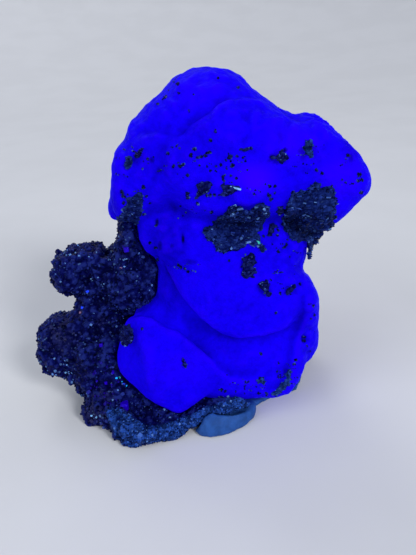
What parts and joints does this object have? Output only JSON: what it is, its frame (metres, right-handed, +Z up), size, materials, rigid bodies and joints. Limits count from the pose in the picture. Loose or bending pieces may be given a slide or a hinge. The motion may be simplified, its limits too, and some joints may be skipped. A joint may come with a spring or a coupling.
{
  "type": "fluorite with pyrite mineral specimen",
  "caption": "Cabinet mineral specimen: rounded, grown-together blue-glowing fluorite on a dark, knobbly pyrite matrix, with pyrite crusts on its front and a putty pad under its foot.",
  "frame": {"origin": "middle of the specimen's footprint, on the surface that it rests on", "axes": "+Z up; -Y is the side that the specimen shows; +X to that side's right"},
  "size_m": [0.0911, 0.0539, 0.0887],
  "materials": {
    "fluorite": "satin, glowing blue under long-wave ultraviolet light",
    "pyrite": "dark, fine-grained and metallic, with small bright crystal faces",
    "putty": "matt, pale, pressed by hand"
  },
  "bodies": {
    "root": {"fluorite": "fluorite", "mounting_putty": "putty", "pyrite_cluster_block": "pyrite", "pyrite_cluster_block_corner": "pyrite", "pyrite_cluster_brow_left": "pyrite", "pyrite_cluster_brow_middle": "pyrite", "pyrite_cluster_brow_right": "pyrite", "pyrite_cluster_brow_upper": "pyrite", "pyrite_cluster_foot": "pyrite", "pyrite_cluster_foot_right": "pyrite", "pyrite_cluster_left_lobe": "pyrite", "pyrite_cluster_left_lobe_inner": "pyrite", "pyrite_cluster_right_lobe": "pyrite", "pyrite_cluster_waist_lower": "pyrite", "pyrite_cluster_waist_right": "pyrite", "pyrite_cluster_waist_upper": "pyrite", "pyrite_matrix": "pyrite", "pyrite_patch_centre": "pyrite", "pyrite_patch_right": "pyrite"}
  },
  "joints": []
}
